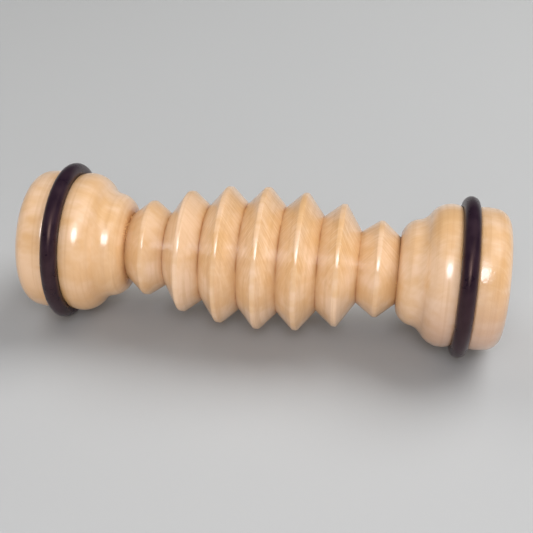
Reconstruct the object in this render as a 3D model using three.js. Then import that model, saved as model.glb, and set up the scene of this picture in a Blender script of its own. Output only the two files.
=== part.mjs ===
// Foot massage roller: a one-piece turned hardwood roller with a ridged barrel between two end knobs,
// and a rubber ring round each knob that grips the floor.
//
// Millimetres. +X runs along the roller's axis and +Z is up. The roller lies on its two rings, and the
// origin is on the floor under the middle of the roller.

import * as THREE from 'three';

// Wooden roller
const overallLength = 207;

const ridgeCount = 7;
const ridgePitch = 16.7;
const crestRadius = 31.1; // of the middle ridge
const crestLineCurve = 128; // radius of the arc that the crests follow along the barrel
const grooveRadius = 23.4; // of the arc through the grooves' bottoms, at mid length
const grooveLineCurve = 115;
const crestRounding = 1.5;

const neckRadius = 14.5; // at the bottom of the V between the barrel and a knob
const beadRounding = 8.4; // the bead stands up from the neck at a right angle to the axis
const beadEndSlope = THREE.MathUtils.degToRad(9.5); // where the bead runs into the cove
const coveRounding = 7; // of the hollow between the bead and the crown
const crownRadius = 30.6; // of the knob at its fullest, between the cove and the ring
const crownRounding = 10.4;
const drumRadius = 30.4; // of the knob at its fullest beyond the ring
const drumRounding = 24;
const drumTopStation = 93.4; // from mid length
const endCornerRadius = 7;

// Rubber rings
const ringOuterRadius = 34.5;
const ringSectionRadius = 3.5;
const ringStation = 86.5; // from mid length to the middle of a ring
const seatGap = 0.3; // between a ring and the bottom of its seat

// Facets
const segmentsRound = 48;
const segmentsRoundRing = 12;

const halfLength = overallLength / 2;
const neckStation = (ridgeCount * ridgePitch) / 2;
const ringCentreRadius = ringOuterRadius - ringSectionRadius;
const seatRadius = ringSectionRadius + seatGap;

// Each ring rests on one flat facet, so the axis is as high as that facet is far from it.
const axisHeight = ringOuterRadius * Math.cos(Math.PI / segmentsRound);

/** A point of an outline, at the station x along the axis and the given radius from it. */
function outlinePoint(x, radius) {
  return new THREE.Vector2(radius, x);
}

/** The outline point at a distance from another. Angles are from straight out of the axis, towards +X. */
function pointFrom(centre, distance, angle) {
  return outlinePoint(centre.y + distance * Math.sin(angle), centre.x + distance * Math.cos(angle));
}

function arc(centre, radius, fromAngle, toAngle, steps) {
  const points = [];
  for (let step = 0; step <= steps; step++) {
    points.push(pointFrom(centre, radius, THREE.MathUtils.lerp(fromAngle, toAngle, step / steps)));
  }
  return points;
}

/** The direction from one outline point to another. */
function angleTo(from, to) {
  return Math.atan2(to.y - from.y, to.x - from.x);
}

/** Where the circles round two points meet: of the two places, the one farther from the axis. */
function outerMeeting(centreA, radiusA, centreB, radiusB) {
  const distance = centreA.distanceTo(centreB);
  const spread = Math.acos((distance ** 2 + radiusA ** 2 - radiusB ** 2) / (2 * distance * radiusA));
  const towards = angleTo(centreA, centreB);
  const places = [towards - spread, towards + spread].map((angle) => pointFrom(centreA, radiusA, angle));
  return places[0].x > places[1].x ? places[0] : places[1];
}

/** The radius, at the station x, of a line that bows outwards at mid length along an arc. */
function bowedRadius(middleRadius, curve, x) {
  return middleRadius - curve + Math.sqrt(curve * curve - x * x);
}

/** The bottom of a groove. They are counted from 0 at the left neck, and the last is the right neck. */
function grooveBottom(index) {
  const x = -neckStation + index * ridgePitch;
  const isNeck = index === 0 || index === ridgeCount;
  return outlinePoint(x, isNeck ? neckRadius : bowedRadius(grooveRadius, grooveLineCurve, x));
}

/** How steeply a flank rises from a groove to touch the rounding of a crest, as an angle from the axis. */
function flankAngle(groove, roundingCentre) {
  const run = Math.abs(roundingCentre.y - groove.y);
  const rise = roundingCentre.x - groove.x;
  return Math.atan2(rise, run) + Math.asin(crestRounding / Math.hypot(run, rise));
}

/** The ridged barrel from neck to neck: straight flanks between V grooves and rounded crests. */
function barrelOutline() {
  const points = [grooveBottom(0)];
  for (let ridge = 0; ridge < ridgeCount; ridge++) {
    const left = grooveBottom(ridge);
    const right = grooveBottom(ridge + 1);
    const x = (left.y + right.y) / 2;
    const centre = outlinePoint(x, bowedRadius(crestRadius, crestLineCurve, x) - crestRounding);
    const fromAngle = -flankAngle(left, centre);
    points.push(...arc(centre, crestRounding, fromAngle, flankAngle(right, centre), 2), right);
  }
  return points;
}

/**
 * The right-hand knob, from just outside the neck to the middle of its flat end face: arcs that run smoothly
 * into each other, except at the two lips of the ring's seat.
 */
function knobOutline() {
  const bead = outlinePoint(neckStation + beadRounding, neckRadius);
  const cove = pointFrom(bead, beadRounding + coveRounding, -beadEndSlope);
  const crownCentreRadius = crownRadius - crownRounding;
  const coveEndSlope = Math.acos((cove.x - crownCentreRadius) / (coveRounding + crownRounding));
  const crown = pointFrom(cove, coveRounding + crownRounding, Math.PI - coveEndSlope);
  const seat = outlinePoint(ringStation, ringCentreRadius);
  const drum = outlinePoint(drumTopStation, drumRadius - drumRounding);
  const cornerX = halfLength - endCornerRadius;
  const cornerAngle = Math.asin((cornerX - drumTopStation) / (drumRounding - endCornerRadius));
  const corner = pointFrom(drum, drumRounding - endCornerRadius, cornerAngle);

  const innerLip = outerMeeting(crown, crownRounding, seat, seatRadius);
  const outerLip = outerMeeting(drum, drumRounding, seat, seatRadius);
  const seatEnd = angleTo(seat, outerLip) - 2 * Math.PI;
  return [
    ...arc(bead, beadRounding, -Math.PI / 2, -beadEndSlope, 5).slice(1),
    ...arc(cove, coveRounding, Math.PI - beadEndSlope, Math.PI - coveEndSlope, 4).slice(1),
    ...arc(crown, crownRounding, -coveEndSlope, angleTo(crown, innerLip), 7).slice(1),
    ...arc(seat, seatRadius, angleTo(seat, innerLip), seatEnd, 8).slice(1),
    ...arc(drum, drumRounding, angleTo(drum, outerLip), cornerAngle, 2).slice(1),
    ...arc(corner, endCornerRadius, cornerAngle, Math.PI / 2, 5).slice(1),
    outlinePoint(halfLength, 0),
  ];
}

function mirrored(outline) {
  return outline.map((point) => outlinePoint(-point.y, point.x)).reverse();
}

/** Turns an outline about the X axis, with a facet rather than an edge underneath. */
function turned(outline) {
  const geometry = new THREE.LatheGeometry(outline, segmentsRound, Math.PI / segmentsRound);
  return geometry.rotateZ(-Math.PI / 2);
}

function makeRoller() {
  const knob = knobOutline();
  const geometry = turned([...mirrored(knob), ...barrelOutline(), ...knob]);
  const wood = new THREE.MeshStandardMaterial({ color: 0xdfb184, roughness: 0.4, metalness: 0 });
  const roller = new THREE.Mesh(geometry, wood);
  roller.name = 'turned_roller';
  return roller;
}

/** One rubber ring, stretched into the seat at the station x. */
function makeRing(name, x) {
  const centre = outlinePoint(0, ringCentreRadius);
  const section = arc(centre, ringSectionRadius, -Math.PI, Math.PI, segmentsRoundRing);
  const rubber = new THREE.MeshStandardMaterial({ color: 0x3c2d30, roughness: 0.5, metalness: 0 });
  const ring = new THREE.Mesh(turned(section), rubber);
  ring.name = name;
  ring.position.x = x;
  return ring;
}

const group = new THREE.Group();
group.add(makeRoller());
group.add(makeRing('left_grip_ring', -ringStation));
group.add(makeRing('right_grip_ring', ringStation));
group.position.z = axisHeight;

export default group;
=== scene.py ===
"""The looks of the foot massage roller: a lacquered hardwood turning with two rubber grip rings.

Everything is in metres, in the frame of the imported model: +X along the roller, +Z up, floor at z = 0.
"""
import math

import bpy
import numpy as np
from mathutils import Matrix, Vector


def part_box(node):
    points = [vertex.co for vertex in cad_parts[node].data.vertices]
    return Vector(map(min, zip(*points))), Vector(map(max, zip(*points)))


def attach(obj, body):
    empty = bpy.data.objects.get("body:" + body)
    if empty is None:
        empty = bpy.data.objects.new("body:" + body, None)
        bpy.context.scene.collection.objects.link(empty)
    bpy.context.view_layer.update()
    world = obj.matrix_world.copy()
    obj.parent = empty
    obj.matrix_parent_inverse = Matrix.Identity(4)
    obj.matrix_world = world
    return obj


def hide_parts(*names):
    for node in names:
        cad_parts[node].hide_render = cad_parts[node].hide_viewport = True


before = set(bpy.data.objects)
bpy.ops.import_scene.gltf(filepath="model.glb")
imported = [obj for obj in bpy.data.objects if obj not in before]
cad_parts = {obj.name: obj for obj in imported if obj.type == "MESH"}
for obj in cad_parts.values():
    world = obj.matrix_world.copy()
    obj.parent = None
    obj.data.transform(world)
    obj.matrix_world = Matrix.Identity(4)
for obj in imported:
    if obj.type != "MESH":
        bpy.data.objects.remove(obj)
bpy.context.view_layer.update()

MM = 0.001

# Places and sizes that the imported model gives.
ROLLER_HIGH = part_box("turned_roller")[1]
RING_LOW, RING_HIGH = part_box("right_grip_ring")
HALF_LENGTH = ROLLER_HIGH.x
AXIS_HEIGHT = (RING_LOW.z + RING_HIGH.z) / 2
RING_STATION = (RING_LOW.x + RING_HIGH.x) / 2
RING_SECTION_RADIUS = (RING_HIGH.x - RING_LOW.x) / 2
RING_CENTRE_RADIUS = AXIS_HEIGHT - RING_SECTION_RADIUS
MIDDLE = Vector((0, 0, AXIS_HEIGHT))

# The turning's own dimensions, as in the CAD.
RIDGE_COUNT = 7
RIDGE_PITCH = 16.7 * MM
CREST_RADIUS = 31.1 * MM  # of the middle ridge
CREST_LINE_CURVE = 128 * MM  # radius of the arc that the crests follow along the barrel
GROOVE_RADIUS = 23.4 * MM  # of the arc through the grooves' bottoms, at mid length
GROOVE_LINE_CURVE = 115 * MM
NECK_RADIUS = 14.5 * MM
NECK_STATION = RIDGE_COUNT * RIDGE_PITCH / 2
BEAD_ROUNDING = 8.4 * MM
BEAD_END_SLOPE = math.radians(9.5)
COVE_ROUNDING = 7 * MM
CROWN_RADIUS = 30.6 * MM
CROWN_ROUNDING = 10.4 * MM
DRUM_RADIUS = 30.4 * MM
DRUM_ROUNDING = 24 * MM
DRUM_TOP_STATION = 93.4 * MM
END_CORNER_RADIUS = 7 * MM

# What is finer than in the CAD: the crests, the seats of the rings, and the number of facets.
CREST_LAND_CURVE = 5 * MM
CREST_LAND_TURN = math.radians(9)  # of the land to either side of the crest's top
CREST_EDGE_ROUNDING = 0.7 * MM
SEAT_GAP = 0.04 * MM
SEAT_RADIUS = RING_SECTION_RADIUS + SEAT_GAP
LIP_ROUNDING = 1.6 * MM
FLANK_STEPS = 8
FLANK_GATHER = 1.8  # draws a flank's points together near its groove, where the marks are narrow
SEGMENTS_ROUND = 192
RING_SECTION_SEGMENTS = 48
SHARP_EDGE = math.radians(35)  # faces that meet at a greater angle than this aren't shaded as one

# How far the marks in a groove reach to either side of its bottom.
GROOVE_LINE_REACH = 0.7 * MM
GROOVE_DARKENING_REACH = 3.5 * MM
NECK_GLINT_REACH = 1.0 * MM

# The tree's growth layers are shells about a pith that lies behind the roller, and they wander a little.
PITH = (0, 60 * MM, AXIS_HEIGHT)
GROWTH_WANDER = 2 * MM
KNOB_END_GRAIN = 0.45  # how much of the end grain shows on the knobs, next to the ridges

# Colours, as linear light
PALE_WOOD = (0.68, 0.463, 0.30, 1)
GOLDEN_WOOD = (0.60, 0.36, 0.17, 1)
TAN_WOOD = (0.48, 0.265, 0.11, 1)
# End grain darkened by lacquer, painted on the upper side only: real darkening, limited by painted shade
SOAKED_SHADED_WOOD = (0.56, 0.32, 0.125, 1)
LIGHT_FIBRE = (0.75, 0.55, 0.38, 1)
# Painted glints on torn fibres in the two necks
TORN_FIBRE_GLINT = (0.90, 0.60, 0.27, 1)
# Painted shade low on the knobs: darker and more golden on the left one, and darker and greyer with a
# painted haze of reflection on the right one
SHADED_GOLDEN_WOOD = (0.53, 0.285, 0.105, 1)
SHADED_HAZY_WOOD = (0.35, 0.21, 0.165, 1)
GROOVE_DARK_GOLD = (0.50, 0.25, 0.085, 1)
GROOVE_BOTTOM = (0.38, 0.165, 0.055, 1)
DARK_RUBBER = (0.012, 0.006, 0.012, 1)
WORN_RUBBER = (0.022, 0.012, 0.019, 1)
RUBBER_SHINE = (1.0, 0.62, 0.45, 1)

# The stage. Angles are in degrees, and the lens and sensor in millimetres, as Blender takes them.
CAMERA_LENS = 65.85
CAMERA_SENSOR = 36.0
CAMERA_AZIMUTH = 9.03
CAMERA_ELEVATION = 36.95
CAMERA_DISTANCE = 421 * MM
CAMERA_TARGET = MIDDLE + Vector((2.3, -5.9, 0)) * MM
FLOOR_RADIUS = 0.95
FLOOR_SEGMENTS = 96
FLOOR_COLOUR = (0.39, 0.392, 0.39, 1)
WHITE = (1, 1, 1)
WARM = (1.0, 0.94, 0.88)
COOL = (0.87, 0.90, 1.0)


# ---- Outlines: lists of (x, radius) from left to right --------------------------------------
# Angles are measured from straight out of the axis, towards +X.


def point_from(centre, distance, angle):
    return centre[0] + distance * math.sin(angle), centre[1] + distance * math.cos(angle)


def angle_to(start, end):
    return math.atan2(end[0] - start[0], end[1] - start[1])


def arc(centre, radius, from_angle, to_angle, steps):
    return [point_from(centre, radius, a) for a in np.linspace(from_angle, to_angle, steps + 1)]


def outer_meeting(centre_a, radius_a, centre_b, radius_b):
    """Where the circles round two points meet: of the two places, the one farther from the axis."""
    distance = math.dist(centre_a, centre_b)
    spread = math.acos((distance**2 + radius_a**2 - radius_b**2) / (2 * distance * radius_a))
    towards = angle_to(centre_a, centre_b)
    places = [point_from(centre_a, radius_a, towards + turn) for turn in (-spread, spread)]
    return max(places, key=lambda place: place[1])


def line(start, end, steps, gather=1.0):
    """Points between two others, without them, gathered towards the start where gather is above 1."""
    shares = [(step / steps) ** gather for step in range(1, steps)]
    return [tuple(a + (b - a) * share for a, b in zip(start, end)) for share in shares]


def bowed_radius(middle_radius, curve, x):
    """The radius at x of a line that bows outwards at mid length along an arc."""
    return middle_radius - curve + math.sqrt(curve * curve - x * x)


def groove_bottom(index):
    """The bottom of a groove. They are counted from 0 at the left neck, and the last is the right neck."""
    x = -NECK_STATION + index * RIDGE_PITCH
    if index in (0, RIDGE_COUNT):
        return x, NECK_RADIUS
    return x, bowed_radius(GROOVE_RADIUS, GROOVE_LINE_CURVE, x)


def flank_angle(groove, rounding_centre):
    """How steeply a flank rises from a groove to touch the rounding at a crest's edge."""
    run = abs(rounding_centre[0] - groove[0])
    rise = rounding_centre[1] - groove[1]
    return math.atan2(rise, run) + math.asin(CREST_EDGE_ROUNDING / math.hypot(run, rise))


def crest_outline(top, left, right):
    """A crest between two grooves: a narrow bowed land whose edges are rounded into the flanks."""
    land = point_from(top, -CREST_LAND_CURVE, 0)
    reach = CREST_LAND_CURVE - CREST_EDGE_ROUNDING
    left_edge = point_from(land, reach, -CREST_LAND_TURN)
    right_edge = point_from(land, reach, CREST_LAND_TURN)
    left_flank = -flank_angle(left, left_edge)
    right_flank = flank_angle(right, right_edge)
    return (
        arc(left_edge, CREST_EDGE_ROUNDING, left_flank, -CREST_LAND_TURN, 3)
        + arc(land, CREST_LAND_CURVE, -CREST_LAND_TURN, CREST_LAND_TURN, 6)[1:-1]
        + arc(right_edge, CREST_EDGE_ROUNDING, CREST_LAND_TURN, right_flank, 3)
    )


def barrel_outline():
    """The ridged barrel, from the left neck to the right one."""
    points = [groove_bottom(0)]
    for ridge in range(RIDGE_COUNT):
        left, right = groove_bottom(ridge), groove_bottom(ridge + 1)
        x = (left[0] + right[0]) / 2
        crest = crest_outline((x, bowed_radius(CREST_RADIUS, CREST_LINE_CURVE, x)), left, right)
        points += line(left, crest[0], FLANK_STEPS, FLANK_GATHER)
        points += crest
        points += line(right, crest[-1], FLANK_STEPS, FLANK_GATHER)[::-1]
        points.append(right)
    return points


def knob_outline():
    """The right-hand knob, from just outside the neck to the middle of its flat end face."""
    bead = (NECK_STATION + BEAD_ROUNDING, NECK_RADIUS)
    cove = point_from(bead, BEAD_ROUNDING + COVE_ROUNDING, -BEAD_END_SLOPE)
    crown_centre_radius = CROWN_RADIUS - CROWN_ROUNDING
    cove_end_slope = math.acos((cove[1] - crown_centre_radius) / (COVE_ROUNDING + CROWN_ROUNDING))
    crown = point_from(cove, COVE_ROUNDING + CROWN_ROUNDING, math.pi - cove_end_slope)
    seat = (RING_STATION, RING_CENTRE_RADIUS)
    drum = (DRUM_TOP_STATION, DRUM_RADIUS - DRUM_ROUNDING)
    corner_angle = math.asin(
        (HALF_LENGTH - END_CORNER_RADIUS - DRUM_TOP_STATION) / (DRUM_ROUNDING - END_CORNER_RADIUS)
    )
    corner = point_from(drum, DRUM_ROUNDING - END_CORNER_RADIUS, corner_angle)

    # The lips of the ring's seat are rounded over.
    around_seat = SEAT_RADIUS + LIP_ROUNDING
    inner_lip = outer_meeting(crown, CROWN_ROUNDING - LIP_ROUNDING, seat, around_seat)
    outer_lip = outer_meeting(drum, DRUM_ROUNDING - LIP_ROUNDING, seat, around_seat)
    crown_end = angle_to(crown, inner_lip)
    drum_start = angle_to(drum, outer_lip)
    seat_start = angle_to(seat, inner_lip)
    seat_end = angle_to(seat, outer_lip)

    stretches = [
        arc(bead, BEAD_ROUNDING, -math.pi / 2, -BEAD_END_SLOPE, 20),
        arc(cove, COVE_ROUNDING, math.pi - BEAD_END_SLOPE, math.pi - cove_end_slope, 14),
        arc(crown, CROWN_ROUNDING, -cove_end_slope, crown_end, 28),
        arc(inner_lip, LIP_ROUNDING, crown_end, seat_start + math.pi, 6),
        arc(seat, SEAT_RADIUS, seat_start, seat_end - 2 * math.pi, 24),
        arc(outer_lip, LIP_ROUNDING, seat_end - math.pi, drum_start, 6),
        arc(drum, DRUM_ROUNDING, drum_start, corner_angle, 8),
        arc(corner, END_CORNER_RADIUS, corner_angle, math.pi / 2, 20),
    ]
    points = [point for stretch in stretches for point in stretch[1:]]
    return points + line(points[-1], (HALF_LENGTH, 0.0), 6) + [(HALF_LENGTH, 0.0)]


def mirrored(outline):
    return [(-x, radius) for x, radius in reversed(outline)]


# ---- Meshes ---------------------------------------------------------------------------------


def turned_mesh(name, outline, closed):
    """Turns an outline about the roller's axis. Where it isn't closed, its two ends lie on the axis."""
    angles = np.linspace(0, 2 * math.pi, SEGMENTS_ROUND, endpoint=False)
    rim = outline if closed else outline[1:-1]
    verts = [
        (x, radius * math.sin(a), AXIS_HEIGHT + radius * math.cos(a)) for x, radius in rim for a in angles
    ]
    faces = []
    for row in range(len(rim) if closed else len(rim) - 1):
        this = row * SEGMENTS_ROUND
        after = (row + 1) % len(rim) * SEGMENTS_ROUND
        for i in range(SEGMENTS_ROUND):
            j = (i + 1) % SEGMENTS_ROUND
            faces.append((this + i, this + j, after + j, after + i))
    if not closed:
        last = len(verts) - SEGMENTS_ROUND
        verts += [(outline[0][0], 0, AXIS_HEIGHT), (outline[-1][0], 0, AXIS_HEIGHT)]
        left_pole, right_pole = len(verts) - 2, len(verts) - 1
        for i in range(SEGMENTS_ROUND):
            j = (i + 1) % SEGMENTS_ROUND
            faces.append((left_pole, j, i))
            faces.append((last + i, last + j, right_pole))
    mesh = bpy.data.meshes.new(name)
    mesh.from_pydata(verts, [], faces)
    mesh.validate()
    mesh.shade_smooth()
    mesh.set_sharp_from_angle(angle=SHARP_EDGE)
    return mesh


def add_piece(mesh, material, node):
    """Puts a fine mesh in place of a CAD node, with the material in the mesh's slot."""
    piece = bpy.data.objects.new(mesh.name, mesh)
    bpy.context.scene.collection.objects.link(piece)
    mesh.materials.append(material)
    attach(piece, "root")
    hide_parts(node)


# ---- Materials ------------------------------------------------------------------------------
# The scale of a noise is in features per metre. Along the roller it differs from across it.


class Graph:
    """A material's node tree. Each method adds a node and returns its output."""

    def __init__(self, name):
        self.material = bpy.data.materials.new(name)
        self.material.use_nodes = True
        self.tree = self.material.node_tree
        self.shader = self.tree.nodes["Principled BSDF"]

    def put(self, value, socket):
        if isinstance(value, bpy.types.NodeSocket):
            self.tree.links.new(value, socket)
        else:
            socket.default_value = value

    def add(self, kind, inputs, output=0, **settings):
        node = self.tree.nodes.new(kind)
        for name, value in settings.items():
            setattr(node, name, value)
        for name, value in inputs.items():
            self.put(value, node.inputs[name])
        return node.outputs[output]

    def math(self, operation, a, b):
        return self.add("ShaderNodeMath", {0: a, 1: b}, operation=operation)

    def product(self, first, *others):
        for other in others:
            first = self.math("MULTIPLY", first, other)
        return first

    def position(self):
        return self.add("ShaderNodeTexCoord", {}, output="Object")

    def attribute(self, name):
        return self.add("ShaderNodeAttribute", {}, output="Fac", attribute_name=name)

    def part(self, vector, axis):
        return self.add("ShaderNodeSeparateXYZ", {0: vector}, output=axis)

    def vector_math(self, operation, a, b=(0, 0, 0)):
        output = "Value" if operation == "LENGTH" else "Vector"
        return self.add("ShaderNodeVectorMath", {0: a, 1: b}, output=output, operation=operation)

    def scaled(self, vector, scale):
        """Scales a place by a number, or by one number for each axis."""
        factors = scale if isinstance(scale, tuple) else (scale, scale, scale)
        return self.vector_math("MULTIPLY", vector, factors)

    def noise(self, vector, detail=2.0, roughness=0.5):
        """Noise whose features are about one unit of the vector across."""
        inputs = {"Vector": vector, "Scale": 1.0, "Detail": detail, "Roughness": roughness}
        return self.add("ShaderNodeTexNoise", inputs, output="Fac")

    def rise(self, value, start, end, top=1.0):
        """Rises smoothly from 0, where the value is at the start, to top, where it is at the end."""
        inputs = {"Value": value, "From Min": start, "From Max": end, "To Max": top}
        return self.add("ShaderNodeMapRange", inputs, interpolation_type="SMOOTHSTEP")

    def mix(self, factor, a, b):
        """Mixes two colours, by socket number, since the node's other types of socket share the names."""
        return self.add("ShaderNodeMix", {0: factor, 6: a, 7: b}, output=2, data_type="RGBA")

    def bump(self, height, distance, under=None):
        inputs = {"Height": height, "Distance": distance, "Strength": 1.0}
        if under is not None:
            inputs["Normal"] = under
        return self.add("ShaderNodeBump", inputs)


def growth_place(g, place):
    """A point's place in the tree: along the grain, around the pith and away from the pith."""
    from_pith = g.vector_math("SUBTRACT", place, PITH)
    away = g.vector_math("LENGTH", g.scaled(from_pith, (0, 1, 1)))
    wander = g.noise(g.scaled(place, (16, 26, 26)), detail=1.0)
    bent = g.math("ADD", away, g.product(wander, GROWTH_WANDER))
    return g.add("ShaderNodeCombineXYZ", {"X": g.part(place, "X"), "Y": g.part(place, "Z"), "Z": bent})


def plain_wood(g, place):
    """Slow drift from golden to pale wood, and the soft bands that sanding on the lathe leaves."""
    drift = g.noise(g.scaled(place, (45, 70, 70)), detail=3.0, roughness=0.6)
    turning = g.noise(g.scaled(place, (620, 12, 12)))
    colour = g.mix(g.rise(drift, 0.35, 0.65), GOLDEN_WOOD, PALE_WOOD)
    return g.mix(g.rise(turning, 0.5, 0.70, 0.34), colour, TAN_WOOD)


def with_grain(g, colour, place, growth, streaks):
    """Wood cut across the grain takes up more lacquer and is darker, and growth layers and the fibres in
    them show. The darkening is painted only above the axis, and the grain shows most on the upper side:
    that change with height is painted light and shade. The fibres show least on the ridges at the left."""
    steep = g.attribute("end_grain")
    # Height above the axis: the end-grain darkening and the grain's contrast are painted stronger on the
    # upper side, as painted light and shade
    upper = g.rise(g.part(place, "Z"), AXIS_HEIGHT, AXIS_HEIGHT + 22 * MM)
    figured = g.rise(g.part(place, "X"), -40 * MM, -10 * MM, 0.56)
    contrast = g.math("ADD", 0.13, g.product(upper, figured))
    show = g.math("ADD", 0.12, g.product(steep, contrast))
    layers = g.noise(g.scaled(growth, (8, 25, 560)), detail=1.0)
    colour = g.mix(g.product(steep, upper, 0.32), colour, SOAKED_SHADED_WOOD)
    colour = g.mix(g.product(show, g.rise(layers, 0.5, 0.68, 0.42)), colour, TAN_WOOD)
    colour = g.mix(g.product(show, g.rise(streaks, 0.52, 0.66, 0.55)), colour, LIGHT_FIBRE)
    return g.mix(g.product(show, g.rise(streaks, 0.48, 0.34, 0.45)), colour, TAN_WOOD)


def with_painted_knob_shade(g, colour, place):
    """Painted shade low down on the knobs: on the left one the wood is darker and more golden, and on the
    right one darker and greyer, with a painted haze of reflection.
    """
    station = g.part(place, "X")
    # Painted shade, strongest low down
    low = g.rise(g.part(place, "Z"), AXIS_HEIGHT + 24 * MM, AXIS_HEIGHT - 16 * MM)
    on_left = g.rise(station, -60 * MM, -68 * MM, 0.55)
    on_right = g.rise(station, 60 * MM, 78 * MM, 0.6)
    colour = g.mix(g.product(on_left, low), colour, SHADED_GOLDEN_WOOD)
    return g.mix(g.product(on_right, low), colour, SHADED_HAZY_WOOD)


def with_groove_marks(g, colour, place):
    """The wood is darker and more golden towards each groove's bottom, with a broken dark line at the
    bottom. In the two necks, bright golden flecks on torn fibres are painted glints."""
    # Darker and more golden towards each groove's bottom
    colour = g.mix(g.product(g.attribute("groove_darkening"), 0.6), colour, GROOVE_DARK_GOLD)
    broken = g.rise(g.noise(g.scaled(place, (160, 120, 120))), 0.30, 0.60)
    colour = g.mix(g.product(g.attribute("groove_line"), broken), colour, GROOVE_BOTTOM)
    # Bright golden flecks in the necks: painted glints on torn fibres
    glint_flecks = g.rise(g.noise(g.scaled(place, 1500), detail=1.0), 0.58, 0.64)
    patches = g.rise(g.noise(g.scaled(place, 110), detail=1.0), 0.50, 0.58)
    return g.mix(g.product(g.attribute("neck_glint_band"), patches, glint_flecks), colour, TORN_FIBRE_GLINT)


def lacquer_relief(g, place, streaks):
    """The lacquer sags a little into turning marks and fibres, and on the right drum it is orange peel."""
    turning_marks = g.noise(g.scaled(place, (2600, 18, 18)))
    marks = g.bump(turning_marks, 0.006 * MM)
    grain = g.bump(streaks, 0.006 * MM, under=marks)
    on_right_drum = g.math("GREATER_THAN", g.part(place, "X"), RING_STATION)
    orange_peel = g.product(g.noise(g.scaled(place, 800), detail=1.0), on_right_drum)
    return g.bump(orange_peel, 0.10 * MM, under=grain)


def wood_material():
    g = Graph("lacquered_hardwood")
    place = g.position()
    growth = growth_place(g, place)
    streaks = g.noise(g.scaled(growth, (70, 110, 1500)), roughness=0.6)
    colour = plain_wood(g, place)
    colour = with_grain(g, colour, place, growth, streaks)
    colour = with_painted_knob_shade(g, colour, place)
    colour = with_groove_marks(g, colour, place)
    g.put(colour, g.shader.inputs["Base Color"])

    cloudy = g.noise(g.scaled(place, 60), detail=3.0)
    g.put(g.math("ADD", 0.36, g.product(cloudy, 0.16)), g.shader.inputs["Roughness"])
    g.shader.inputs["IOR"].default_value = 1.5
    g.shader.inputs["Coat Weight"].default_value = 1.0
    g.shader.inputs["Coat IOR"].default_value = 1.8
    g.shader.inputs["Coat Roughness"].default_value = 0.18
    relief = lacquer_relief(g, place, streaks)
    g.put(relief, g.shader.inputs["Normal"])
    g.put(relief, g.shader.inputs["Coat Normal"])
    return g.material


def rubber_material():
    g = Graph("ring_rubber")
    place = g.position()
    mottle = g.noise(g.scaled(place, 160), detail=3.0)
    g.put(g.mix(g.rise(mottle, 0.3, 0.7), DARK_RUBBER, WORN_RUBBER), g.shader.inputs["Base Color"])
    g.put(g.math("ADD", 0.22, g.product(mottle, 0.14)), g.shader.inputs["Roughness"])
    g.shader.inputs["IOR"].default_value = 1.45
    g.shader.inputs["Specular Tint"].default_value = RUBBER_SHINE
    mould_lines = g.noise(g.scaled(place, (1600, 25, 25)))
    g.put(g.bump(mould_lines, 0.03 * MM), g.shader.inputs["Normal"])
    return g.material


# ---- Pieces ---------------------------------------------------------------------------------


def per_vertex(mesh, name, values):
    mesh.attributes.new(name, "FLOAT", "POINT").data.foreach_set("value", values)


def mark_turning(mesh, outline):
    """Stores how steep the outline is at each point, and how near a groove's bottom, for the wood."""
    x, radius = np.array(outline).T
    run, rise = np.gradient(x), np.gradient(radius)
    grooves = np.array([groove_bottom(i)[0] for i in range(RIDGE_COUNT + 1)])
    nearest = np.abs(x[:, None] - grooves).min(axis=1)
    from_neck = np.abs(np.abs(x) - NECK_STATION)
    on_knob = np.abs(x) > NECK_STATION
    marks = {
        "end_grain": np.abs(rise) / np.hypot(run, rise) * np.where(on_knob, KNOB_END_GRAIN, 1.0),
        "groove_line": np.clip(1 - nearest / GROOVE_LINE_REACH, 0, 1),
        "groove_darkening": np.clip(1 - nearest / GROOVE_DARKENING_REACH, 0, 1) ** 2,
        "neck_glint_band": np.clip(1 - from_neck / NECK_GLINT_REACH, 0, 1),
    }
    for name, values in marks.items():
        rim = np.repeat(values[1:-1], SEGMENTS_ROUND)
        per_vertex(mesh, name, np.concatenate([rim, values[[0, -1]]]).astype(np.float32))


def build_roller(material):
    knob = knob_outline()
    outline = mirrored(knob) + barrel_outline() + knob
    mesh = turned_mesh("wooden_roller", outline, closed=False)
    mark_turning(mesh, outline)
    add_piece(mesh, material, "turned_roller")


def build_ring(node, side, material):
    centre = (side * RING_STATION, RING_CENTRE_RADIUS)
    section = arc(centre, RING_SECTION_RADIUS, -math.pi, math.pi, RING_SECTION_SEGMENTS)[1:]
    mesh = turned_mesh(node.replace("grip", "rubber"), section, closed=True)
    add_piece(mesh, material, node)


# ---- Stage ----------------------------------------------------------------------------------


def build_floor():
    angles = np.linspace(0, 2 * math.pi, FLOOR_SEGMENTS, endpoint=False)
    rim = [(FLOOR_RADIUS * math.cos(a), FLOOR_RADIUS * math.sin(a), 0) for a in angles]
    mesh = bpy.data.meshes.new("floor")
    mesh.from_pydata(rim, [], [tuple(range(FLOOR_SEGMENTS))])
    floor = bpy.data.objects.new("floor", mesh)
    bpy.context.scene.collection.objects.link(floor)
    g = Graph("floor")
    g.shader.inputs["Base Color"].default_value = FLOOR_COLOUR
    g.shader.inputs["Roughness"].default_value = 0.9
    g.shader.inputs["Specular IOR Level"].default_value = 0.1
    mesh.materials.append(g.material)


def around_roller(azimuth, elevation, distance):
    """A place seen from the middle of the roller. Azimuth 0 is the front, and 90 degrees is the right."""
    turn, rise = math.radians(azimuth), math.radians(elevation)
    away = Vector((math.sin(turn) * math.cos(rise), -math.cos(turn) * math.cos(rise), math.sin(rise)))
    return MIDDLE + away * distance


def aim(obj, place, target):
    obj.location = place
    obj.rotation_euler = (target - place).to_track_quat("-Z", "Y").to_euler()
    bpy.context.scene.collection.objects.link(obj)


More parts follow.
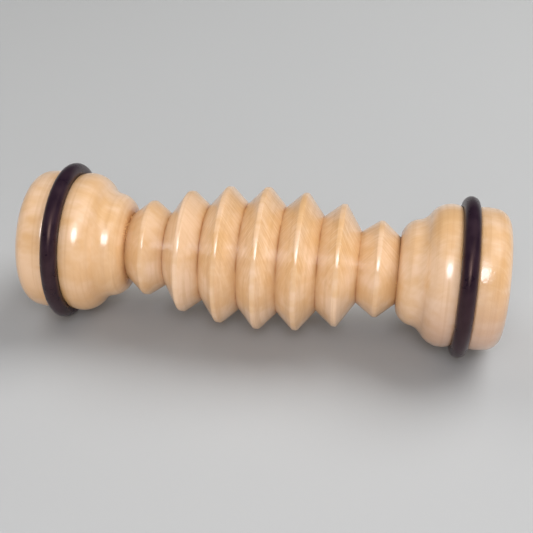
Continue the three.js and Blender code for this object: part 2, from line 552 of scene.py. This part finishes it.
def add_light(name, azimuth, elevation, distance, size, power, glossy=True, colour=WHITE):
    """A light panel that faces the roller. One that isn't glossy doesn't show in reflections."""
    light = bpy.data.lights.new(name, "AREA")
    light.shape = "ELLIPSE"
    light.size, light.size_y = size
    light.energy = power
    light.color = colour
    panel = bpy.data.objects.new(name, light)
    panel.visible_camera = False
    panel.visible_glossy = glossy
    aim(panel, around_roller(azimuth, elevation, distance), MIDDLE)


def light_stage():
    """Broad panels light the wood and cast the shadow, and the smaller ones shine in the lacquer."""
    add_light("key", 125, 54, 1.2, size=(1.1, 0.9), power=15.4, glossy=False)
    add_light("left_fill", 237, 55, 1.2, size=(1.1, 1.0), power=5.4, glossy=False)
    add_light("top_front", 48, 62, 1.0, size=(0.8, 0.6), power=0.8)
    add_light("low_front", -3, 7, 1.0, size=(1.3, 0.24), power=5.3, glossy=False, colour=WARM)
    add_light("low_left", -62, 8, 1.0, size=(0.8, 0.24), power=2.0, glossy=False, colour=WARM)
    add_light("low_right", 62, 8, 1.0, size=(0.8, 0.24), power=2.7, glossy=False, colour=WARM)
    add_light("beside_camera", 8, 44, 0.75, size=(0.34, 0.29), power=1.8, colour=COOL)
    add_light("above_camera", 2, 55, 0.8, size=(0.5, 0.35), power=0.65)
    bpy.context.scene.view_settings.view_transform = "Standard"


def build_studio():
    """The dim room around the floor: dark high up, and brighter down to just below the horizon."""
    world = bpy.data.worlds.new("studio")
    world.use_nodes = True
    tree = world.node_tree
    direction = tree.nodes.new("ShaderNodeTexCoord").outputs["Generated"]
    parts = tree.nodes.new("ShaderNodeSeparateXYZ")  # Z is the sine of a direction's elevation
    brightness = tree.nodes.new("ShaderNodeMapRange")
    brightness.inputs["From Min"].default_value = 0.4
    brightness.inputs["From Max"].default_value = -0.12
    brightness.inputs["To Min"].default_value = 0.02
    brightness.inputs["To Max"].default_value = 0.45
    background = tree.nodes["Background"]
    background.inputs["Color"].default_value = (1, 1, 1, 1)
    tree.links.new(direction, parts.inputs[0])
    tree.links.new(parts.outputs["Z"], brightness.inputs["Value"])
    tree.links.new(brightness.outputs[0], background.inputs["Strength"])
    bpy.context.scene.world = world


def set_camera():
    data = bpy.data.cameras.new("camera")
    data.lens = CAMERA_LENS
    data.sensor_width = CAMERA_SENSOR
    camera = bpy.data.objects.new("camera", data)
    away = around_roller(CAMERA_AZIMUTH, CAMERA_ELEVATION, CAMERA_DISTANCE) - MIDDLE
    aim(camera, CAMERA_TARGET + away, CAMERA_TARGET)
    bpy.context.scene.camera = camera


set_camera()
wood = wood_material()
rubber = rubber_material()
build_roller(wood)
build_ring("left_grip_ring", -1, rubber)
build_ring("right_grip_ring", 1, rubber)
build_floor()
build_studio()
light_stage()
